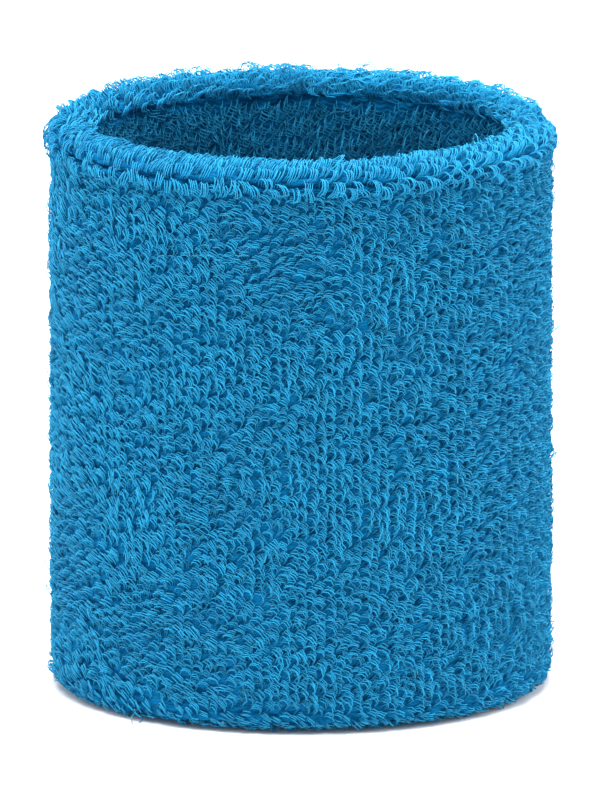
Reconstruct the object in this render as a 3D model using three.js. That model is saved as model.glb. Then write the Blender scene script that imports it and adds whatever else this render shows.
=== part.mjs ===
// A towelling sweat wristband, standing on one edge.
//
// The band is one knitted tube, turned back into itself so that it has two walls, and closed
// by a seam halfway up its inner wall. Three yarns make the tube: a cotton pile that stands in
// loops on every face, a ground knit that holds the loops, and a covered elastic yarn that is
// laid into the ground in one long spiral. A sewing thread closes the seam.
//
// Millimetres, +Z up, the oval's long side along X, origin at the centre of the resting edge.

import * as THREE from 'three';

// ---- Driving dimensions -----------------------------------------------------------------

const WIDTH = 69.2; // across the oval's long side, over the pile
const DEPTH = 52.0; // across its short side
const HEIGHT = 80.0; // edge to edge
const PILE = 1.5; // how far the loops stand up from the ground knit
const GROUND = 0.4; // thickness of the ground knit
const ELASTIC = 0.35; // diameter of the covered elastic yarn
const THREAD = 0.35; // diameter of the closing thread
const CLEAR = 0.3; // room between two pieces that lie against each other
const REST_FLAT = 2.0; // width of the flat that the lower edge is pressed into
const SEAM_HEIGHT = 40.0; // height of the closing seam on the inner wall
const ELASTIC_PITCH = 12.0; // about how far the elastic's spiral rises in one turn
const STITCH = 5.0; // length of one stitch of the closing seam

// ---- What follows from them ---------------------------------------------------------------

const WALL = 2 * (PILE + GROUND + ELASTIC) + 5 * CLEAR; // two pile layers, two grounds, two yarns
const FOLD = WALL / 2; // radius of the rolled edge
const FOLD_INSIDE = FOLD - PILE; // radius of the pile's inner side in the roll
const GROUND_OUTSIDE = FOLD_INSIDE - CLEAR;
const GROUND_INSIDE = GROUND_OUTSIDE - GROUND;
const ELASTIC_OFFSET = GROUND_INSIDE - CLEAR - ELASTIC / 2; // from the middle of the wall
const LOW_FOLD = FOLD; // height where the lower roll begins
const HIGH_FOLD = HEIGHT - FOLD; // height where the upper roll begins
const SEAM_GAP = THREAD + 2 * CLEAR; // between the tube's two ends

const AROUND = 48; // flats round each ring, a multiple of 4
const ROLL_STEP = Math.PI / 6; // angle of one flat in a roll of pile
const GROUND_STEP = Math.PI / 4; // angle of one flat in a fold of the ground knit
const YARN_SIDES = 5; // flats round a yarn

// ---- The oval that everything follows --------------------------------------------------------

// The middle of the wall is an ellipse. At an angle it gives a point and the direction
// straight out of the wall, so that a layer keeps its thickness all the way round.
const MIDDLE_X = (WIDTH - WALL) / 2;
const MIDDLE_Y = (DEPTH - WALL) / 2;

function ovalAt(angle) {
	const point = new THREE.Vector3(MIDDLE_X * Math.cos(angle), MIDDLE_Y * Math.sin(angle), 0);
	const outward = new THREE.Vector3(MIDDLE_Y * Math.cos(angle), MIDDLE_X * Math.sin(angle), 0);
	return { point, outward: outward.normalize() };
}

// The place that lies `out` mm outside the middle of the wall, at an angle and a height.
function place(angle, out, height) {
	const { point, outward } = ovalAt(angle);
	return point.addScaledVector(outward, out).setZ(height);
}

// The ellipse's circumference, by Ramanujan's formula.
const SPREAD = ((MIDDLE_X - MIDDLE_Y) / (MIDDLE_X + MIDDLE_Y)) ** 2;
const CIRCUMFERENCE =
	Math.PI * (MIDDLE_X + MIDDLE_Y) * (1 + (3 * SPREAD) / (10 + Math.sqrt(4 - 3 * SPREAD)));

// ---- Sections, as points (out from the middle of the wall, height) ------------------------------

// Points on a round stretch, both ends included.
function arc(out, height, radius, from, to, step = ROLL_STEP) {
	const steps = Math.round(Math.abs(to - from) / step);
	return Array.from({ length: steps + 1 }, (_, i) => {
		const angle = from + ((to - from) * i) / steps;
		return [out + radius * Math.cos(angle), height + radius * Math.sin(angle)];
	});
}

// An upright strip between two heights.
function strip(inside, outside, low, high) {
	return [[outside, low], [outside, high], [inside, high], [inside, low]];
}

// The upper roll: the pile goes over the fold in a half ring.
function highRoll() {
	return [
		...arc(0, HIGH_FOLD, FOLD, 0, Math.PI),
		...arc(0, HIGH_FOLD, FOLD_INSIDE, Math.PI, 0),
	];
}

// The lower roll: the same half ring, pressed flat where the band stands on it.
function lowRoll() {
	const corner = (WALL - REST_FLAT) / 2;
	const side = REST_FLAT / 2;
	return [
		[-FOLD, LOW_FOLD],
		...arc(-side, corner, corner, Math.PI, 1.5 * Math.PI),
		...arc(side, corner, corner, 1.5 * Math.PI, 2 * Math.PI),
		[FOLD, LOW_FOLD],
		...arc(0, LOW_FOLD, FOLD_INSIDE, 2 * Math.PI, Math.PI),
	];
}

// The ground knit: one layer from the seam over both folds and back to the seam.
function groundSection() {
	const seamTop = SEAM_HEIGHT + SEAM_GAP / 2;
	const seamBottom = SEAM_HEIGHT - SEAM_GAP / 2;
	return [
		[-GROUND_OUTSIDE, seamBottom],
		...arc(0, LOW_FOLD, GROUND_OUTSIDE, Math.PI, 2 * Math.PI, GROUND_STEP),
		...arc(0, HIGH_FOLD, GROUND_OUTSIDE, 0, Math.PI, GROUND_STEP),
		[-GROUND_OUTSIDE, seamTop],
		[-GROUND_INSIDE, seamTop],
		...arc(0, HIGH_FOLD, GROUND_INSIDE, Math.PI, 0, GROUND_STEP),
		...arc(0, LOW_FOLD, GROUND_INSIDE, 2 * Math.PI, Math.PI, GROUND_STEP),
		[-GROUND_INSIDE, seamBottom],
	];
}

// ---- Solids ---------------------------------------------------------------------------------

// A section carried round the oval: a lathe turns it round a circle, and each point then moves
// to the same angle of the oval, as far from the middle of the wall as it was from the circle.
function ring(section) {
	const points = [...section, section[0]].map(([out, high]) => new THREE.Vector2(MIDDLE_X + out, high));
	const geometry = new THREE.LatheGeometry(points, AROUND).rotateX(Math.PI / 2);
	const position = geometry.attributes.position;
	const spot = new THREE.Vector3();
	for (let i = 0; i < position.count; i += 1) {
		spot.fromBufferAttribute(position, i);
		const out = Math.hypot(spot.x, spot.y) - MIDDLE_X;
		const moved = place(Math.atan2(spot.y, spot.x), out, spot.z);
		position.setXYZ(i, moved.x, moved.y, moved.z);
	}
	geometry.computeVertexNormals();
	return geometry;
}

// A route through the band, from a function of the share of it that has been covered.
class Route extends THREE.Curve {
	constructor(at) {
		super();
		this.at = at;
	}

	// Equal shares of the formula, so that the steps fall at equal angles of the oval.
	getPoint(share, target = new THREE.Vector3()) {
		return target.copy(this.at(share));
	}

	getPointAt(share, target) {
		return this.getPoint(share, target);
	}

	getTangentAt(share, target) {
		return this.getTangent(share, target);
	}
}

// A round yarn along a route.
function yarn(at, diameter, steps) {
	const section = new THREE.Shape(
		Array.from({ length: YARN_SIDES }, (_, i) => {
			const angle = (2 * Math.PI * i) / YARN_SIDES;
			return new THREE.Vector2(Math.cos(angle), Math.sin(angle)).multiplyScalar(diameter / 2);
		}),
	);
	return new THREE.ExtrudeGeometry(section, { steps, extrudePath: new Route(at), bevelEnabled: false });
}

// The elastic's way through the wall: down the inner side from below the seam, round the lower
// fold, up the outer side, round the upper fold and down to above the seam, in whole turns
// round the band. Its steps fall on the rings' own corners, so that its room stays even.
function elasticYarn() {
	const fold = Math.PI * ELASTIC_OFFSET;
	const seamRoom = SEAM_GAP / 2 + ELASTIC + THREAD;
	const lengths = [
		SEAM_HEIGHT - seamRoom - LOW_FOLD,
		fold,
		HIGH_FOLD - LOW_FOLD,
		fold,
		HIGH_FOLD - SEAM_HEIGHT - seamRoom,
	];
	const whole = lengths.reduce((sum, length) => sum + length, 0);
	const turns = Math.round(whole / ELASTIC_PITCH);

	// Where the wall has been covered up to `far` mm: [out from the middle, height].
	function section(far) {
		let rest = far;
		if (rest <= lengths[0]) return [-ELASTIC_OFFSET, LOW_FOLD + lengths[0] - rest];
		rest -= lengths[0];
		if (rest <= fold) {
			const angle = Math.PI + rest / ELASTIC_OFFSET;
			return [ELASTIC_OFFSET * Math.cos(angle), LOW_FOLD + ELASTIC_OFFSET * Math.sin(angle)];
		}
		rest -= fold;
		if (rest <= lengths[2]) return [ELASTIC_OFFSET, LOW_FOLD + rest];
		rest -= lengths[2];
		if (rest <= fold) {
			const angle = rest / ELASTIC_OFFSET;
			return [ELASTIC_OFFSET * Math.cos(angle), HIGH_FOLD + ELASTIC_OFFSET * Math.sin(angle)];
		}
		return [-ELASTIC_OFFSET, HIGH_FOLD - (rest - fold)];
	}

	return yarn(
		(share) => {
			const [out, height] = section(share * whole);
			return place(2 * Math.PI * turns * share, out, height);
		},
		ELASTIC,
		turns * AROUND,
	);
}

// The closing thread: it goes round the band between the tube's two ends, and in each stitch
// it dips through the seam from the wrist's side into the wall and back.
function seamThread() {
	const stitches = Math.round(CIRCUMFERENCE / STITCH);
	const middle = -(GROUND_INSIDE + GROUND_OUTSIDE) / 2;
	const dip = GROUND / 2 + THREAD / 2;
	const untied = (THREAD + CLEAR) / CIRCUMFERENCE; // the share left open between its two ends
	return yarn(
		(share) => {
			const angle = 2 * Math.PI * (untied + share * (1 - 2 * untied));
			return place(angle, middle + dip * Math.cos(angle * stitches), SEAM_HEIGHT);
		},
		THREAD,
		stitches * 4,
	);
}

// ---- The assembly ---------------------------------------------------------------------------

const terry = new THREE.MeshStandardMaterial({ color: 0x1579b4, roughness: 0.92, metalness: 0 });
const groundYarn = new THREE.MeshStandardMaterial({ color: 0x0c5a8c, roughness: 0.8, metalness: 0 });
const elasticCover = new THREE.MeshStandardMaterial({ color: 0x2f86b8, roughness: 0.7, metalness: 0 });
const sewingThread = new THREE.MeshStandardMaterial({ color: 0x1a6ea6, roughness: 0.6, metalness: 0 });

const band = new THREE.Group();

function add(name, geometry, material) {
	const mesh = new THREE.Mesh(geometry, material);
	mesh.name = name;
	band.add(mesh);
}

const faceLow = LOW_FOLD + CLEAR;
const faceHigh = HIGH_FOLD - CLEAR;
const outerFace = strip(FOLD_INSIDE, FOLD, faceLow, faceHigh);
const innerHigh = strip(-FOLD, -FOLD_INSIDE, SEAM_HEIGHT + SEAM_GAP / 2, faceHigh);
const innerLow = strip(-FOLD, -FOLD_INSIDE, faceLow, SEAM_HEIGHT - SEAM_GAP / 2);

add('outer_terry_pile', ring(outerFace), terry);
add('top_edge_roll', ring(highRoll()), terry);
add('bottom_edge_roll', ring(lowRoll()), terry);
add('inner_terry_pile_upper', ring(innerHigh), terry);
add('inner_terry_pile_lower', ring(innerLow), terry);
add('ground_knit_tube', ring(groundSection()), groundYarn);
add('elastic_yarn', elasticYarn(), elasticCover);
add('closing_seam_thread', seamThread(), sewingThread);

export default band;
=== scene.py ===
# %% [markdown]
# # A towelling sweat wristband, modelled loop by loop
#
# A terry wristband is one knitted tube. Three yarns make it: a fine nylon ground that is knitted into
# stitches, an elastic yarn laid in between them, and a cotton pile yarn that stands out of every
# stitch in a small loop. The tube is turned back into itself, so the band has two walls and a rolled
# edge at the top and the bottom. What the eye sees is only the pile, more than fifty thousand strands
# of yarn, so this script makes the loops themselves and leaves only the twist of the yarn to bump.

# %% Load the fixed frame
from math import pi, radians

import bpy
import numpy as np
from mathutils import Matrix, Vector


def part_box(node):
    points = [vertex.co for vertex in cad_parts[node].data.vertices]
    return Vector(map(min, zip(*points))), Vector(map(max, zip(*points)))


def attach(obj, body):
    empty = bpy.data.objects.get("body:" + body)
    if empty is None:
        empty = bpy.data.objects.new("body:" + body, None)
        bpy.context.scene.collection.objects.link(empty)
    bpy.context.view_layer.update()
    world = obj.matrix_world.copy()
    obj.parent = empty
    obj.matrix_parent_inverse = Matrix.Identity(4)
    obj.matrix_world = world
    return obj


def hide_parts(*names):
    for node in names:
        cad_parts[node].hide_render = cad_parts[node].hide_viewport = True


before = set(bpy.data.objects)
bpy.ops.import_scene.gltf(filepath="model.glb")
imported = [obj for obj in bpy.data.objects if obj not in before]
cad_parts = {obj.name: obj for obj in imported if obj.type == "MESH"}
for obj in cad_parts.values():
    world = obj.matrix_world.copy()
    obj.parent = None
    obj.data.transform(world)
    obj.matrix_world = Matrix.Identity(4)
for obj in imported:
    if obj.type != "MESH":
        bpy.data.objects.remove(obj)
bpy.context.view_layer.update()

# %% [markdown]
# The band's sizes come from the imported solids. The height of the upper roll is the radius of the
# rolled edge, which is half the wall. The ground knit's box says how far the fabric under the pile
# lies from the middle of the wall, and the two inner piles end at the seam.

# %% Sizes read from the frame, in metres
MM = 0.001
roll_low, roll_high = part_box("top_edge_roll")
HEIGHT = roll_high.z
ROLL = roll_high.z - roll_low.z
MIDDLE_X, MIDDLE_Y = roll_high.x - ROLL, roll_high.y - ROLL
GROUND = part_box("ground_knit_tube")[1].x - MIDDLE_X
HIGH_FOLD, LOW_FOLD = HEIGHT - ROLL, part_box("bottom_edge_roll")[1].z
SEAM_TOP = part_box("inner_terry_pile_upper")[0].z
SEAM_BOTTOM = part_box("inner_terry_pile_lower")[1].z
print(f"wall {2000 * ROLL:.1f} mm, ground knit {1000 * GROUND:.2f} mm from its middle")

# %% [markdown]
# ## Two rulers
#
# Knitting is regular: upright columns of stitches, called wales, and rounds of stitches, called
# courses. So a place on the fabric needs only two numbers, the distance round the oval and the
# distance along the wall from the seam, down the inner wall, round the lower fold, up the outer wall,
# round the upper fold and down again. Two functions turn these numbers into a point in space and the
# three directions of the fabric there.

# %% The oval, measured by arc length
turn = np.linspace(0, 2 * pi, 4001)
steps = np.hypot(np.diff(MIDDLE_X * np.cos(turn)), np.diff(MIDDLE_Y * np.sin(turn)))
travelled = np.concatenate([[0], np.cumsum(steps)])
GIRTH = travelled[-1]


def oval(share):
    """Point on the middle of the wall and the direction out of it, for a share of the girth.

    The point is (X cos a, Y sin a). The outward direction is (Y cos a, X sin a), made one long.
    The share starts at the right end of the long side and goes anticlockwise seen from above.
    """
    angle = np.interp(np.mod(share, 1) * GIRTH, travelled, turn)
    point = np.stack([MIDDLE_X * np.cos(angle), MIDDLE_Y * np.sin(angle), 0 * angle], -1)
    out = np.stack([MIDDLE_Y * np.cos(angle), MIDDLE_X * np.sin(angle), 0 * angle], -1)
    return point, out / np.linalg.norm(out, axis=-1, keepdims=True)


ZONES = {  # where each zone starts and ends: heights on a straight zone, facing angles in a fold
    "inner_wall_lower": (SEAM_BOTTOM, LOW_FOLD),
    "lower_fold": (pi, 2 * pi),
    "outer_wall": (LOW_FOLD, HIGH_FOLD),
    "upper_fold": (0.0, pi),
    "inner_wall_upper": (HIGH_FOLD, SEAM_TOP),
}


def wall(zone, along, radius):
    """Distance out, height, and the facing angle of a layer `radius` from the middle of the wall.

    A straight zone keeps its distance and changes height. A fold is a half circle of that radius:
    distance r cos f, height r sin f, and f is also the direction that the pile faces.
    """
    start, end = ZONES[zone]
    if zone.endswith("fold"):
        facing = start + along * (end - start)
        centre = HIGH_FOLD if zone == "upper_fold" else LOW_FOLD
        return radius * np.cos(facing), centre + radius * np.sin(facing), facing
    facing = np.full_like(along, 0.0 if zone == "outer_wall" else pi)
    return radius * np.cos(facing), start + along * (end - start), facing


print(f"girth {1000 * GIRTH:.1f} mm")

# %% [markdown]
# ## Where loops stand unevenly
#
# No two loops lie alike, but neighbours do: yarn that comes off the same spot of the cone has the same
# twist, and handling pushes loops over in small clumps. So every angle of a loop is a plan value, plus
# a smooth random field, plus a little of its own. The field is white noise that has been blurred.

# %% Smooth random fields
WALES = 148  # columns of stitches round the band
rng = np.random.default_rng(20)
print(f"wales {1000 * GIRTH / WALES:.2f} mm apart")


def field(courses, across, along):
    """Random numbers with mean 0 and spread 1, alike over `across` wales and `along` courses.

    White noise is multiplied by a bell curve in frequency, exp(-2 (pi f w)^2), in both directions.
    """
    noise = rng.standard_normal((WALES, courses))
    if across + along:
        fx = np.fft.fftfreq(WALES)[:, None]
        fy = np.fft.rfftfreq(courses)[None, :]
        bell = np.exp(-2 * pi**2 * ((fx * across) ** 2 + (fy * along) ** 2))
        noise = np.fft.irfft2(np.fft.rfft2(noise) * bell, s=noise.shape)
    return (noise - noise.mean()) / noise.std()


# %% [markdown]
# ## One loop of pile yarn
#
# A loop comes out of the ground between two stitches, widens, and closes in a round crown, like the
# letter omega. The pile yarn twists, so every loop turns the same way on its feet: its right leg comes
# out and its left leg goes in. It also leans along the knitting, up the outer wall. Curves with a
# bevel could draw this, but a script that bends all the loops of a zone at once is far quicker. A
# strand is a thin tube with three flats, because over fifty thousand have to fit into the model.

# %% The shape of a loop
NECK = 0.25  # where the crown begins, as a share of the loop's height
STANCE = 0.85  # distance between the feet, as a share of the crown's ends


def arch(segments, sweep):
    """Across and up, in half widths and heights, of a loop with a round crown.

    The crown is part of a circle: across sin c, up cos c, for c from -sweep to sweep degrees,
    squeezed so that it spans from NECK to 1 of the height. The two feet stand under its ends, a
    little closer together.
    """
    c = np.linspace(-1, 1, segments - 1) * radians(sweep)
    low = np.cos(radians(sweep))
    foot = STANCE * np.sin(radians(sweep))
    across = np.concatenate([[-foot], np.sin(c), [foot]])
    up = np.concatenate([[0], NECK + (1 - NECK) * (np.cos(c) - low) / (1 - low), [0]])
    return across, up


print("a loop of six segments:", np.round(np.stack(arch(6, 122), -1), 2).tolist())


# %% A tube round each loop
SIDES = 3


def strands(place, frames, loop, segments, sweep, yarn):
    """Corners of one tube for each strand, as an array (strands, rings, sides, 3).

    The centre line is place + A * across + B * up + N * bow, where A, B and N are the loop's own
    sideways, upward and through directions. Each ring is centre + r (N cos q + (T x N) sin q), where
    T is the direction of the line there. Swing turns A and B's lean on the fabric, lean tips B along
    the knitting, twist turns A on its feet, and curl turns the arch in its own plane.
    """
    out, run, knit = frames
    across, up = arch(segments, sweep)
    lean, twist, curl, swing = (loop[key][:, None] for key in ("lean", "twist", "curl", "swing"))
    run, knit = (
        np.cos(swing) * run - np.sin(swing) * knit,
        np.cos(swing) * knit + np.sin(swing) * run,
    )
    rise = np.cos(lean) * out + np.sin(lean) * knit
    flat = np.sin(lean) * out - np.cos(lean) * knit
    side = np.cos(twist) * run + np.sin(twist) * flat
    through = np.cross(side, rise)
    side, rise = (
        np.cos(curl) * side + np.sin(curl) * rise,
        np.cos(curl) * rise - np.sin(curl) * side,
    )
    bow = loop["bow"][:, None] * np.sin(pi * np.linspace(0, 1, segments + 1))
    line = (
        place[:, None]
        + side[:, None] * (loop["half_width"][:, None] * across)[..., None]
        + rise[:, None] * (loop["height"][:, None] * up)[..., None]
        + through[:, None] * bow[..., None]
    )
    along = np.gradient(line, axis=1)
    along /= np.linalg.norm(along, axis=-1, keepdims=True)
    first = through[:, None] - along * (through[:, None] * along).sum(-1, keepdims=True)
    first /= np.linalg.norm(first, axis=-1, keepdims=True)
    second = np.cross(along, first)
    q = 2 * pi * np.arange(SIDES) / SIDES
    ring = first[:, :, None] * np.cos(q)[:, None] + second[:, :, None] * np.sin(q)[:, None]
    return line[:, :, None] + yarn * ring


# %% A mesh from the tubes
TONES = 8  # close tones that the dye comes out in
INSET = 0.06  # how far a yarn keeps from the edges of its strip, as a share of the strip


def lay_uv(mesh, uv):
    """The mesh's UV map, from one (u, v) for each corner of each face."""
    layer = mesh.uv_layers.new(name="OFBake", do_init=False)
    layer.uv.foreach_set("vector", uv.astype(np.float32).ravel())


def make_mesh(name, tubes, tone):
    """One mesh of all the tubes, each closed at both feet by a triangle.

    The UV map lays every yarn upright in one of TONES strips: across is once round the yarn inside
    its strip, and up is the way from foot to foot.
    """
    count, rings, sides, _ = tubes.shape
    corner = np.arange(count * rings * sides).reshape(count, rings, sides)
    nxt = np.roll(corner, -1, axis=2)
    quads = np.stack([corner[:, :-1], nxt[:, :-1], nxt[:, 1:], corner[:, 1:]], -1).reshape(-1, 4)
    caps = np.concatenate([corner[:, 0, ::-1], corner[:, -1]])
    mesh = bpy.data.meshes.new(name)
    mesh.vertices.add(corner.size)
    mesh.vertices.foreach_set("co", tubes.astype(np.float32).ravel())
    mesh.loops.add(quads.size + caps.size)
    indices = np.concatenate([quads.ravel(), caps.ravel()])
    mesh.loops.foreach_set("vertex_index", indices.astype(np.int32))
    starts = np.concatenate([np.arange(len(quads)) * 4, quads.size + np.arange(len(caps)) * sides])
    mesh.polygons.add(len(starts))
    mesh.polygons.foreach_set("loop_start", starts.astype(np.int32))
    mesh.polygons.foreach_set("use_smooth", np.ones(len(starts), bool))
    mesh.update(calc_edges=True)

    strip = np.broadcast_to(tone[:, None, None], (count, rings - 1, sides))
    j = np.broadcast_to(np.arange(sides), strip.shape)
    k = np.broadcast_to(np.arange(rings - 1)[:, None], strip.shape)
    u = np.stack([j, j + 1, j + 1, j], -1) / sides
    v = np.stack([k, k, k + 1, k + 1], -1) / (rings - 1)
    u = (strip[..., None] + INSET + (1 - 2 * INSET) * u) / TONES
    quad_uv = np.stack([u, v], -1).reshape(-1, 2)
    cap_u = np.repeat((np.concatenate([tone, tone]) + 0.5) / TONES, sides)
    cap_v = np.repeat(np.repeat([0.01, 0.99], count), sides)
    lay_uv(mesh, np.concatenate([quad_uv, np.stack([cap_u, cap_v], -1)]))
    return mesh


# %% [markdown]
# ## Finishes
#
# The pile is ring-spun cotton, dyed a bright sky blue. Cotton scatters light softly, so it has a high
# roughness, hardly any clear reflection, and a sheen from the short fibres that stand off the yarn.
# The dye takes a little unevenly from one stretch of yarn to the next, which the strips of the UV map
# carry. A pattern on the surface would cut across the yarns; a strip for each yarn keeps it whole.


# %% Colour and node helpers
def linear(code):
    """An sRGB hex colour as linear numbers: c / 12.92 below 0.04045, else ((c + 0.055) / 1.055)^2.4."""
    srgb = np.array([int(code[i : i + 2], 16) for i in (1, 3, 5)]) / 255
    low, high = srgb / 12.92, ((srgb + 0.055) / 1.055) ** 2.4
    return (*np.where(srgb <= 0.04045, low, high).tolist(), 1.0)


def add(tree, kind, sockets=None, **settings):
    """One node with its settings, and each socket given a value or linked from another node."""
    made = tree.nodes.new(kind)
    for name, value in settings.items():
        setattr(made, name, value)
    for socket, value in (sockets or {}).items():
        if isinstance(value, bpy.types.NodeSocket):
            tree.links.new(value, made.inputs[socket])
        else:
            made.inputs[socket].default_value = value
    return made


def new_material(name):
    """A material with an empty tree, and that tree."""
    material = bpy.data.materials.new(name)
    material.use_nodes = True
    material.node_tree.nodes.clear()
    return material, material.node_tree


def finish_surface(tree, sockets):
    """A Principled surface with these sockets, on the material's output."""
    shader = add(tree, "ShaderNodeBsdfPrincipled", sockets)
    add(tree, "ShaderNodeOutputMaterial", {"Surface": shader.outputs[0]})


print("sky blue in linear light:", [round(part, 3) for part in linear("#0a90c4")])


# %% Ring-spun cotton pile yarn
def cotton_yarn():
    """Dyed cotton: close tones, paler at the crown, with the yarn's two plies as bump.

    The pale crown is a painted highlight, its share 0.22 sin(pi v) for the way v from foot to foot.
    """
    material, tree = new_material("ring_spun_cotton_sky_blue")
    uv = add(tree, "ShaderNodeUVMap", uv_map="OFBake").outputs[0]
    parts = add(tree, "ShaderNodeSeparateXYZ", {0: uv})
    across, along = parts.outputs[0], parts.outputs[1]
    strip = add(tree, "ShaderNodeMath", {0: across, 1: float(TONES)}, operation="MULTIPLY").outputs[0]
    tone = add(tree, "ShaderNodeMath", {0: strip}, operation="FLOOR").outputs[0]
    around = add(tree, "ShaderNodeMath", {0: strip}, operation="FRACT").outputs[0]
    ramp = add(
        tree,
        "ShaderNodeMapRange",
        {"Value": tone, "From Min": 0.0, "From Max": TONES - 1.0},
    ).outputs[0]
    dyed = add(
        tree,
        "ShaderNodeMix",
        {0: ramp, 6: linear("#0072a6"), 7: linear("#0a90c4")},
        data_type="RGBA",
    ).outputs[2]
    # Painted highlight: each loop's crown is mixed towards a pale cyan, where the top light catches it.
    crown = add(tree, "ShaderNodeMath", {0: along, 1: pi}, operation="MULTIPLY").outputs[0]
    crown = add(tree, "ShaderNodeMath", {0: crown}, operation="SINE").outputs[0]
    paler = add(tree, "ShaderNodeMath", {0: crown, 1: 0.22}, operation="MULTIPLY").outputs[0]
    colour = add(
        tree,
        "ShaderNodeMix",
        {0: paler, 6: dyed, 7: linear("#4cbadc")},
        data_type="RGBA",
    ).outputs[2]
    # Two plies wind round each other about every 0.6 mm: nine times along a loop of 5.5 mm. A whole
    # turn round the yarn meets each ply twice, so the phase is 4 pi times the turns.
    turns = 5.5 / 0.6
    phase = {0: along, 1: float(round(turns)), 2: around}
    phase = add(tree, "ShaderNodeMath", phase, operation="MULTIPLY_ADD").outputs[0]
    phase = add(tree, "ShaderNodeMath", {0: phase, 1: 4 * pi}, operation="MULTIPLY").outputs[0]
    plies = add(tree, "ShaderNodeMath", {0: phase}, operation="SINE").outputs[0]
    relief = {"Strength": 0.35, "Distance": 0.03 * MM, "Height": plies}
    bump = add(tree, "ShaderNodeBump", relief).outputs[0]
    finish_surface(
        tree,
        {
            "Base Color": colour,
            "Roughness": 0.85,
            "IOR": 1.5,
            "Specular IOR Level": 0.12,
            "Sheen Weight": 0.18,
            "Sheen Roughness": 0.5,
            "Sheen Tint": linear("#7ad2f0"),
            "Normal": bump,
        },
    )
    return material


cotton = cotton_yarn()
print("finish of the pile:", cotton.name)

# %% [markdown]
# ## The pile, zone by zone
#
# A zone is a grid of wales and courses, offset like bricks. A stitch holds several loops of pile that
# stand close together, so each place of the grid gets one set of angles and a bundle of two to four
# strands. The strands of a bundle step along the knitting and to the right, and a fan of a few
# degrees opens them. A bundle shares its dye, because it comes off one stretch of yarn.

# %% Loops of a zone
PULLED_SHARE = 0.004  # the share of loops that have been pulled out
PULLED_BY = 0.8  # how much longer those are


def pile(zone, courses, plan, bundle, yarn, first=0.0, last=1.0, sweep=115):
    """Tubes for all loops of a zone, and their tones: one array for each strand of the bundle.

    `plan` gives, for the shares round and along, the height, half width and lift in mm, the lean,
    twist, curl, swing and fan in degrees, how loose the bundles are, how far the strands of a bundle
    spread, and the dye's tone from 0 to 1. `bundle` gives, for each strand, its width and height as
    shares of the loop's, its places along the knitting and to the right in mm, and its segments.
    `yarn` is the yarn's radius, the courses fill the zone from the share `first` to the share
    `last`, and `sweep` says in degrees how round the crown is.
    """
    wale = np.arange(WALES)[:, None]
    course = np.arange(courses)[None, :]
    # clump, sway and drift are alike over a wale or so, slow over a few, and grain is a loop's own.
    clump = field(courses, 0.4, 0.5)
    sway = field(courses, 0.4, 0.5)
    drift = field(courses, 0.4, 0.6)
    slow = field(courses, 3.0, 3.0)
    grain = [field(courses, 0, 0) for _ in range(5)]
    brick = 0.5 * (wale % 2) - 0.25
    along = first + (last - first) * (course + 0.5 + brick + 0.13 * grain[0]) / courses
    along = np.clip(along, 0, 1)
    round_it = (wale + 0.12 * drift + 0.08 * grain[1]) / WALES
    p = plan(round_it, along)
    loose = p["loose"]
    # Each value is its plan's, changed by some shares of it or by some degrees.
    loop = {
        "height": p["height"] * (1 + 0.12 * clump + 0.07 * grain[2] + 0.05 * slow),
        "half_width": p["half_width"] * (1 + 0.10 * sway + 0.07 * grain[3]),
        "lean": p["lean"] + 8 * clump + 4 * slow + 5 * grain[0],
        "twist": p["twist"] + loose * (8 * sway + 5 * slow + 6 * grain[1]),
        "curl": p["curl"] + loose * (9 * drift + 7 * grain[2]),
        "swing": p["swing"] + loose * (11 * drift + 5 * slow + 8 * grain[3]),
        "fan": p["fan"] * (1 + 0.5 * grain[4]),
        "bow": 0.06 * grain[0] + 0.06 * sway,
        "spread": p["spread"] + 0 * along,
    }
    tone_of = p["tone"] + 0.22 * grain[2] + 0.14 * slow
    lift = (p["lift"] + 0 * along).reshape(-1, 1)
    point, away = oval(round_it.ravel())
    out, height, facing = (values[:, None] for values in wall(zone, along.ravel(), GROUND))
    up = np.array([0.0, 0.0, 1.0])
    face = away * np.cos(facing) + up * np.sin(facing)
    knit = -away * np.sin(facing) + up * np.cos(facing)
    run = np.cross(knit, face)
    root = point + away * out + up * height + face * lift * MM
    made, tones = [], []
    for wide, tall, shift, slide, segments in bundle:
        own = {key: value.ravel().copy() for key, value in loop.items()}
        count = own["height"].size
        own["height"] *= tall * MM * (1 + 0.05 * own["spread"] * rng.standard_normal(count))
        own["height"] *= 1 + PULLED_BY * (rng.random(count) < PULLED_SHARE)
        own["half_width"] *= wide * MM * (1 + 0.07 * own["spread"] * rng.standard_normal(count))
        own["bow"] *= MM
        own["lean"] += own["fan"] * shift
        for key, degrees in (("lean", 3), ("twist", 5), ("curl", 5), ("swing", 4)):
            own[key] = np.radians(own[key] + own["spread"] * degrees * rng.standard_normal(count))
        place = root + knit * shift * MM + run * slide * MM
        made.append(strands(place, (face, run, knit), own, segments, sweep, yarn))
        shade = np.clip(tone_of.ravel() + 0.12 * rng.standard_normal(count), 0, 0.999)
        tones.append((shade * TONES).astype(int))
    return made, tones


# %% Pieces of a zone
FLOOR_GAP = 0.02 * MM  # what stays free below the lowest loops


def put(name, node, made, tones, parts=1):
    """Pieces for each strand of the bundle, each a run of neighbouring wales, in place of the node."""
    for part in range(parts):
        mine = slice(round(part * WALES / parts), round((part + 1) * WALES / parts))
        for letter, tubes, tone in zip("abcd", made, tones):
            tubes = tubes.reshape(WALES, -1, *tubes.shape[1:])[mine]
            tubes = tubes.reshape(-1, *tubes.shape[2:])
            tubes[..., 2] = np.maximum(tubes[..., 2], FLOOR_GAP)
            label = f"{name}_{part + 1}{letter}"
            mesh = make_mesh(label, tubes, tone.reshape(WALES, -1)[mine].ravel())
            mesh.materials.append(cotton)
            piece = bpy.data.objects.new(label, mesh)
            bpy.context.scene.collection.objects.link(piece)
            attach(piece, "root")
            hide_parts(node)
            triangles = len(mesh.loops) - 2 * len(mesh.polygons)
            print(label, "strands", len(tubes), "triangles", triangles)


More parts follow.
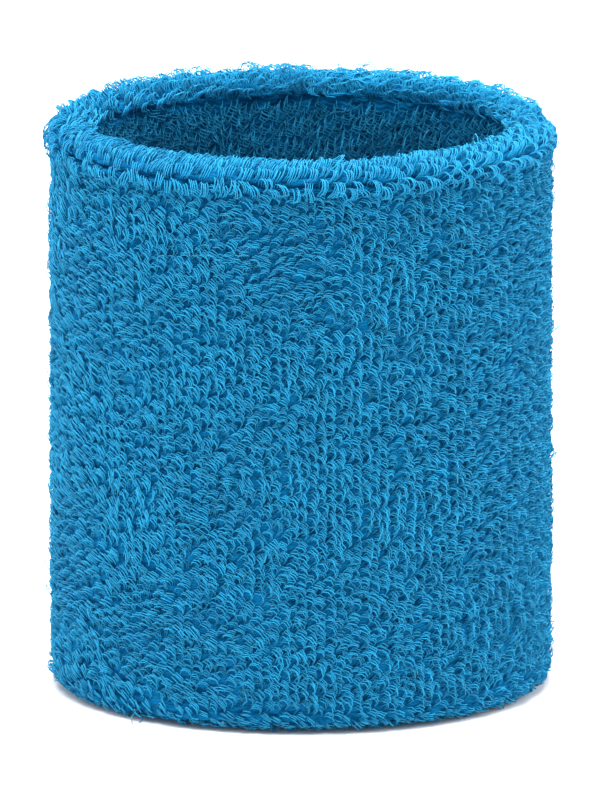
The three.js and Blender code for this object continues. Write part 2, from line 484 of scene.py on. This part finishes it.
# %% [markdown]
# ## Outer wall
#
# On the outside the loops lean up the wall and lie in small nests, four strands to a nest, that a
# hand has stroked over. Each row covers the feet of the row above, and dark gaps stay between the
# nests. At the left end the band has lain folded flat, so the loops are pressed down along a soft
# crease and turn less on their feet. The last row below the rolled edge has more room, and stands up
# in coils.

# %% Outer wall
YARN = 0.086 * MM  # radius of the pile yarn where it lies loose
FINE = 0.078 * MM  # radius where it is drawn tight, as in the coils and in the nests of four
WALL_COURSES = 53
TOP, BOTTOM = 6, 5  # courses in the two folds
INNER = 25  # courses in the upper half of the inner wall
INNER_LOW = 20  # courses in its lower half, which hardly shows, so they stand further apart
CREASE = 3.0 * MM  # half width of the crease


def outer_plan(round_it, along):
    """Loops lean up the wall and turn on their feet; along the crease they lie flatter.

    `crease` is the bell curve exp(-(d / CREASE)^2) of the distance d from the left end of the oval,
    and `left` is -cos of the way round, so 1 at the left end and 0 over the whole right half.
    """
    crease = np.exp(-(((np.mod(round_it, 1) - 0.5) * GIRTH / CREASE) ** 2))
    left = np.clip(-np.cos(2 * pi * round_it), 0, 1)
    return {
        "height": 1.75 + 0.05 * left,
        "half_width": 0.84,
        "lift": 0.45,
        "lean": 56 + 10 * crease,
        "twist": 22 - 20 * left,
        "curl": -24,
        "swing": 5 - 5 * crease,
        "fan": 9,
        "loose": 0.9,
        "spread": 0.8,
        "tone": 0.5,
    }


def rim_plan(round_it, along):
    """The last row below the rolled edge stands in coils that turn their open side to the left."""
    return {
        "height": 1.9,
        "half_width": 0.88,
        "lift": 0.9,
        "lean": 56,
        "twist": 50,
        "curl": -6,
        "swing": 22,
        "fan": 10,
        "loose": 0.8,
        "spread": 0.8,
        # Painted light: this row takes the paler tones of the dye, where the top light falls on the
        # edge.
        "tone": 0.9,
    }


nest = (
    (1.0, 1.0, -0.36, -0.22, 6),
    (0.97, 0.97, -0.12, -0.07, 6),
    (0.92, 0.94, 0.12, 0.07, 5),
    (0.84, 0.90, 0.36, 0.22, 5),
)
coil = (
    (1.0, 1.0, 0.0, -0.48, 8),
    (0.96, 0.97, 0.0, -0.16, 8),
    (0.92, 0.94, 0.0, 0.16, 8),
    (0.84, 0.90, 0.0, 0.48, 7),
)
made, tones = pile("outer_wall", WALL_COURSES, outer_plan, nest, FINE, last=0.983, sweep=122)
put("outer_terry_loops", "outer_terry_pile", made, tones, parts=3)
made, tones = pile("outer_wall", 1, rim_plan, coil, FINE, first=0.984, last=1.0, sweep=128)
put("rim_row_loops", "outer_terry_pile", made, tones)


# %% [markdown]
# ## Rolled edges
#
# Where the fabric rolls over at the top its outside is stretched, so the loops part and can be seen
# one by one: long open rings that lie on each other like a coil spring. On the near side they are
# combed over the edge. Inside the far side they are brushed up, where a hand goes in. The rolled edge
# at the bottom carries the band, and its loops are pressed flat.

# %% Rolled edges
def far_half(round_it):
    """0 on the near half of the oval and 1 on the far half, with a ramp between them at both ends."""
    return np.clip(0.5 + 2.5 * np.sin(2 * pi * round_it), 0, 1)


def top_plan(round_it, along):
    """Round the upper fold the loops are long, open rings that lie over each other like a coil.

    They lean over the edge and to the right. `brushed` is 0 for loops that do so, and 1 for the loops
    inside the far half, which lean back out over the edge.
    """
    far = far_half(round_it)
    brushed = far * np.clip((along - 0.41) / 0.02, 0, 1)
    return {
        "height": 2.1 - 0.5 * far + 0.3 * brushed,
        "half_width": 0.86 + 0.09 * brushed,
        "lift": 0.9 - 0.3 * far + 0.6 * brushed,
        "lean": 55 - 123 * brushed,
        "twist": 58 - 28 * far - 46 * brushed,
        "curl": -8 + 8 * brushed,
        "swing": 36 - 60 * brushed,
        "fan": 12,
        "loose": 0.8,
        "spread": 0.8,
        # Painted light: the rolled edge takes the paler tones of the dye, where the top light falls on
        # it.
        "tone": 0.9,
    }


def bottom_plan(round_it, along):
    """Round the lower fold the loops are pressed down by the band's own weight."""
    return {
        "height": 1.7,
        "half_width": 0.80,
        "lift": 0.35,
        "lean": 58,
        "twist": 22,
        "curl": -14,
        "swing": 4,
        "fan": 10,
        "loose": 0.9,
        "spread": 1.0,
        "tone": 0.5,
    }


made, tones = pile("upper_fold", TOP, top_plan, coil, FINE, first=0.13, sweep=134)
put("top_roll_loops", "top_edge_roll", made, tones)
pressed = ((1.0, 1.0, -0.3, -0.1, 6), (0.94, 0.95, 0.0, 0.0, 5), (0.88, 0.9, 0.3, 0.1, 5))
made, tones = pile("lower_fold", BOTTOM, bottom_plan, pressed, YARN, last=0.93)
put("bottom_roll_loops", "bottom_edge_roll", made, tones)


# %% [markdown]
# ## Inner wall
#
# The inner wall has the same pile against the wrist, worn flatter. Its first courses can be seen
# through the opening, so they get three strands to a bundle, and the courses deeper down get two
# with fewer segments. That keeps the whole band under two million triangles.

# %% Inner wall
NEAR = 8  # courses of the inner wall that can be seen well from outside


def inner_plan(round_it, along):
    """The same loops against the wrist, lying flatter from wear."""
    return {
        "height": 1.6,
        "half_width": 0.88,
        "lift": 0.6,
        "lean": 64,
        "twist": 10,
        "curl": -12,
        "swing": 8,
        "fan": 6,
        "loose": 0.9,
        "spread": 1.0,
        "tone": 0.5,
    }


def near_plan(round_it, along):
    """The first courses under the edge are painted paler: painted light falling in over the edge.

    Their tone is 0.5 + 0.5 exp(-(along / 0.12)^2).
    """
    # Painted light: paler tones towards the edge, where light falls in through the opening.
    return {**inner_plan(round_it, along), "tone": 0.5 + 0.5 * np.exp(-((along / 0.12) ** 2))}


near = ((1.0, 1.0, -0.4, -0.2, 5), (0.94, 0.95, 0.0, 0.0, 5), (0.86, 0.9, 0.4, 0.2, 5))
deep = ((1.0, 1.0, -0.3, -0.1, 4), (0.9, 0.92, 0.3, 0.1, 4))
made, tones = pile("inner_wall_upper", NEAR, near_plan, near, YARN, last=NEAR / INNER)
put("inner_upper_loops", "inner_terry_pile_upper", made, tones)
made, tones = pile("inner_wall_upper", INNER - NEAR, inner_plan, deep, YARN, first=NEAR / INNER)
put("inner_middle_loops", "inner_terry_pile_upper", made, tones)
made, tones = pile("inner_wall_lower", INNER_LOW, inner_plan, deep, YARN)
put("inner_lower_loops", "inner_terry_pile_lower", made, tones)


# %% [markdown]
# ## The fabric behind the pile
#
# Behind the loops lies the ground knit, where the feet of each bundle crowd together in a small
# mound. It is one sheet, folded on itself all round the band. A flat sheet with bump would show
# smooth gaps between the loops, so it is made as one closed skin, with real mounds on the side of the
# pile and a plain skin on the side of the elastic.

# %% Mounds of the ground knit
FABRIC = 0.4 * MM  # thickness of the knit
MOUND = 1.0 * MM  # height of a mound on the outer wall
SKIN_GAP = 0.03 * MM  # what stays free below the lowest mounds
ROWS = {  # for each zone: courses of mounds, rows of points in each course, and the mounds' height
    "outer_wall": (WALL_COURSES + 1, 3, MOUND),
    "upper_fold": (TOP, 4, 1.7 * MOUND),
    "inner_wall_upper": (INNER, 2, 0.85 * MOUND),
    "inner_wall_lower": (INNER, 2, 0.85 * MOUND),
    "lower_fold": (BOTTOM, 3, 1.4 * MOUND),
}


def mounds(zone, share, along, courses):
    """How high the fabric stands, as a share of its zone's mound, on a grid of shares.

    The mounds stand in the gaps of the row below like bricks, as the bundles do: their height is
    0.64 + 0.36 cos(pi w) cos(2 pi c), for wale w and course c, plus a smooth random field and minus
    a few pits. The upper fold has a groove along its lower side, and its far half is
    fuller under the loops that are brushed back. The inner wall is fuller just under the edge.
    """
    columns, rows = len(share), along.size
    relief = 0.64 + 0.36 * np.cos(pi * share * WALES) * np.cos(2 * pi * (along * courses - 0.25))
    rough = np.repeat(field(rows, 0.5, 0.5), columns // WALES, axis=0)
    pit = np.repeat(field(rows, 0.3, 0.5), columns // WALES, axis=0)
    pit = np.clip(2 * (pit - 1.0), 0, 1)
    if zone == "upper_fold":
        groove = np.exp(-(((along - 0.07) / 0.05) ** 2))
        relief = (0.4 + 0.6 * relief) * (1 - 0.8 * groove)
    relief = np.clip(relief + 0.26 * rough - 0.9 * pit, -0.1, 0.93)
    if zone == "outer_wall":
        relief = np.minimum(relief, 0.75)
    if zone == "upper_fold":
        relief *= 1 + 0.25 * far_half(share) * np.exp(-(((along - 0.42) / 0.16) ** 2))
    if zone == "inner_wall_upper":
        relief *= 1 + 0.6 * np.exp(-20 * along)
    return relief


# %% Its two sides, and one mesh of both
def skin(columns, row_plan, radius):
    """Points of one closed skin, `radius` and its mounds from the middle of the wall.

    They come as an array (columns, rows, 3), with the zones one after the other round the section.
    """
    share = np.arange(columns)[:, None] / columns
    strips = []
    for zone, (courses, each, mound) in row_plan.items():
        rows = courses * each
        along = (np.arange(rows) / rows)[None, :]
        rise = radius + mound * mounds(zone, share, along, courses)
        point, away = oval((share + 0 * along).ravel())
        out, height, _ = wall(zone, (along + 0 * share).ravel(), rise.ravel())
        place = point + away * out[:, None]
        place[:, 2] = np.maximum(height, SKIN_GAP)
        strips.append(place.reshape(columns, rows, 3))
    return np.concatenate(strips, axis=1)


def skin_mesh(name, skins):
    """One mesh of closed skins, each (points, inwards), with the shares round and along as UV."""
    corners, faces, maps = [], [], []
    for points, inwards in skins:
        columns, rows, _ = points.shape
        number = np.arange(columns * rows).reshape(columns, rows) + sum(len(c) for c in corners)
        right, above = np.roll(number, -1, axis=0), np.roll(number, -1, axis=1)
        across = np.roll(right, -1, axis=1)
        quad = np.stack([number, right, across, above], -1).reshape(-1, 4)
        i = np.broadcast_to(np.arange(columns)[:, None], number.shape)
        j = np.broadcast_to(np.arange(rows)[None, :], number.shape)
        u = np.stack([i, i + 1, i + 1, i], -1).reshape(-1, 4) / columns
        v = np.stack([j, j, j + 1, j + 1], -1).reshape(-1, 4) / rows
        if inwards:
            quad, u, v = quad[:, ::-1], u[:, ::-1], v[:, ::-1]
        corners.append(points.reshape(-1, 3))
        faces.append(quad)
        maps.append(np.stack([u, v], -1).reshape(-1, 2))
    corners, faces, maps = (np.concatenate(part) for part in (corners, faces, maps))
    mesh = bpy.data.meshes.new(name)
    mesh.vertices.add(len(corners))
    mesh.vertices.foreach_set("co", corners.astype(np.float32).ravel())
    mesh.loops.add(faces.size)
    mesh.loops.foreach_set("vertex_index", faces.astype(np.int32).ravel())
    mesh.polygons.add(len(faces))
    mesh.polygons.foreach_set("loop_start", (np.arange(len(faces)) * 4).astype(np.int32))
    mesh.polygons.foreach_set("use_smooth", np.ones(len(faces), bool))
    mesh.update(calc_edges=True)
    lay_uv(mesh, maps)
    return mesh


PLAIN = (8, 1, 0.0)  # the side of the elastic: eight rows of points in each zone, and no mounds
pile_side = skin(2 * WALES, ROWS, GROUND)
elastic_side = skin(WALES, {zone: PLAIN for zone in ROWS}, GROUND - FABRIC)
ground_mesh = skin_mesh("ground_knit", [(pile_side, False), (elastic_side, True)])
print("ground knit faces", len(ground_mesh.polygons))


# %% [markdown]
# The mounds are the feet of the pile, so they are the same cotton, painted a deeper blue as
# painted shade, because little light reaches them. Their yarns run from mound to mound, one over and
# one under in turn.

# %% Finish of the pile's feet
def pile_foot():
    """Cotton again, deeper in colour, with bumps for the yarn that runs from mound to mound.

    The yarns are stripes sin(2 pi n v + 1.6 cos(pi w)), for n rows of points along the whole section
    and wale w, so that they bend round each mound.
    """
    material, tree = new_material("cotton_pile_at_the_ground")
    uv = add(tree, "ShaderNodeUVMap", uv_map="OFBake").outputs[0]
    parts = add(tree, "ShaderNodeSeparateXYZ", {0: uv})
    round_it, along = parts.outputs[0], parts.outputs[1]
    rows = sum(courses * each for courses, each, _ in ROWS.values())
    wale = add(tree, "ShaderNodeMath", {0: round_it, 1: WALES * pi}, operation="MULTIPLY").outputs[0]
    bend = add(tree, "ShaderNodeMath", {0: wale}, operation="COSINE").outputs[0]
    bend = add(tree, "ShaderNodeMath", {0: bend, 1: 1.6}, operation="MULTIPLY").outputs[0]
    phase = {0: along, 1: rows * 2 * pi, 2: bend}
    phase = add(tree, "ShaderNodeMath", phase, operation="MULTIPLY_ADD").outputs[0]
    stripe = add(tree, "ShaderNodeMath", {0: phase}, operation="SINE").outputs[0]
    limits = {"Value": stripe, "From Min": -1.0, "From Max": 1.0}
    share = add(tree, "ShaderNodeMapRange", limits).outputs[0]
    # Painted shade: a deeper blue than the loops, and the darker tone lies in the low parts of the
    # bump.
    colour = add(
        tree,
        "ShaderNodeMix",
        {0: share, 6: linear("#006090"), 7: linear("#026ea2")},
        data_type="RGBA",
    ).outputs[2]
    relief = {"Strength": 0.3, "Distance": 0.15 * MM, "Height": stripe}
    bump = add(tree, "ShaderNodeBump", relief).outputs[0]
    sockets = {"Base Color": colour, "Roughness": 0.9, "Specular IOR Level": 0.1, "Normal": bump}
    finish_surface(tree, sockets)
    return material


ground_mesh.materials.append(pile_foot())
ground = bpy.data.objects.new("ground_knit", ground_mesh)
bpy.context.scene.collection.objects.link(ground)
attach(ground, "root")
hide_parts("ground_knit_tube")


# %% [markdown]
# ## Elastic and sewing thread
#
# The elastic is a rubber core wrapped in nylon, and the seam is sewn with a spun polyester thread of
# three plies. Both keep their CAD shapes. They show fine slanting turns, which a band pattern on
# Object coordinates gives, because these meshes have no UV map.

# %% Elastic and thread
def wound_yarn(name, dark, light, turn_mm, roughness):
    """Slanting turns, `turn_mm` apart, in two close tones, with fibres as fine noise.

    A band pattern repeats every 2 pi / (20 scale) metres, so its scale is 2 pi / (20 pitch).
    """
    material, tree = new_material(name)
    place = add(tree, "ShaderNodeTexCoord").outputs["Object"]
    turns = add(
        tree,
        "ShaderNodeTexWave",
        {"Vector": place, "Scale": 2 * pi / (20 * turn_mm * MM), "Distortion": 0.6},
        bands_direction="DIAGONAL",
    ).outputs["Fac"]
    # Fibres are about 0.02 mm thick, which is too fine to show, so the noise is drawn at 0.2 mm.
    hair = {"Vector": place, "Scale": 1 / (0.2 * MM)}
    fibres = add(tree, "ShaderNodeTexNoise", hair).outputs["Fac"]
    mixed = {0: fibres, 1: 0.4, 2: turns}
    mixed = add(tree, "ShaderNodeMath", mixed, operation="MULTIPLY_ADD").outputs[0]
    # Painted shade: the darker tone lies in the low parts of the bump, between the turns and fibres.
    share = add(tree, "ShaderNodeMapRange", {"Value": mixed, "From Max": 1.4}).outputs[0]
    colour = add(
        tree,
        "ShaderNodeMix",
        {0: share, 6: linear(dark), 7: linear(light)},
        data_type="RGBA",
    ).outputs[2]
    relief = {"Strength": 0.6, "Distance": 0.05 * MM, "Height": mixed}
    bump = add(tree, "ShaderNodeBump", relief).outputs[0]
    finish_surface(
        tree,
        {
            "Base Color": colour,
            "Roughness": roughness,
            "Specular IOR Level": 0.3,
            "Normal": bump,
        },
    )
    return material


for node, name, dark, light, turn_mm, roughness in (
    ("elastic_yarn", "nylon_covered_elastic", "#1f6f9f", "#4f9cc4", 0.30, 0.5),
    ("closing_seam_thread", "spun_polyester_thread", "#125d92", "#2b83b8", 0.45, 0.7),
):
    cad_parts[node].data.materials.clear()
    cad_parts[node].data.materials.append(wound_yarn(name, dark, light, turn_mm, roughness))
    print(node, "wears", name)

# %% [markdown]
# ## Studio
#
# Towelling shows its loops best in soft light from above, with a little from each side to draw the
# outline. The floor is a sheet of white paper. The camera stands in front of the long side and looks
# a little down, so that the opening shows, and a long lens keeps the sides upright.

# %% White paper floor
REACH = 3.0  # half the paper's width, in metres
floor_mesh = bpy.data.meshes.new("floor")
corners = [(-REACH, -REACH, 0), (REACH, -REACH, 0), (REACH, REACH, 0), (-REACH, REACH, 0)]
floor_mesh.from_pydata(corners, [], [(0, 1, 2, 3)])
floor = bpy.data.objects.new("floor", floor_mesh)
bpy.context.scene.collection.objects.link(floor)
paper, tree = new_material("white_paper")
finish_surface(tree, {"Base Color": (0.9, 0.9, 0.9, 1), "Roughness": 0.9})
floor_mesh.materials.append(paper)

# %% Soft light
world = bpy.data.worlds.new("studio")
world.use_nodes = True
background = world.node_tree.nodes["Background"]
background.inputs["Color"].default_value = (1, 1, 1, 1)
background.inputs["Strength"].default_value = 0.74
bpy.context.scene.world = world

CENTRE = Vector((0, 0, HEIGHT / 2))  # the middle of the band
SOFTBOX = 0.6  # side of each softbox, in metres


def soft_light(name, place, power):
    """A square softbox at a place, turned to the middle of the band."""
    data = bpy.data.lights.new(name, "AREA")
    data.size, data.energy = SOFTBOX, power
    lamp = bpy.data.objects.new(name, data)
    lamp.location = place
    lamp.rotation_euler = (CENTRE - Vector(place)).to_track_quat("-Z", "Y").to_euler()
    bpy.context.scene.collection.objects.link(lamp)
    print(name, power, "W")


soft_light("top_softbox", (-0.05, -0.10, 0.75), 12.5)
soft_light("left_softbox", (-0.75, 0.20, 0.30), 2.2)
soft_light("right_softbox", (0.75, 0.20, 0.30), 4.8)

# %% Camera
DISTANCE, ELEVATION = 3.5, radians(16.7)  # metres from the middle of the band, and how far above
VIEW_HEIGHT = 0.1090  # what the frame takes in from top to bottom, at the band
SENSOR = 36  # mm
camera_data = bpy.data.cameras.new("camera")
camera_data.lens = SENSOR * DISTANCE / VIEW_HEIGHT
camera_data.clip_end = 20
camera = bpy.data.objects.new("camera", camera_data)
camera.location = CENTRE + DISTANCE * Vector((0, -np.cos(ELEVATION), np.sin(ELEVATION)))
camera.rotation_euler = (CENTRE - camera.location).to_track_quat("-Z", "Y").to_euler()
bpy.context.scene.collection.objects.link(camera)
bpy.context.scene.camera = camera
bpy.context.scene.view_settings.view_transform = "Standard"
print(f"camera lens {camera_data.lens:.0f} mm")
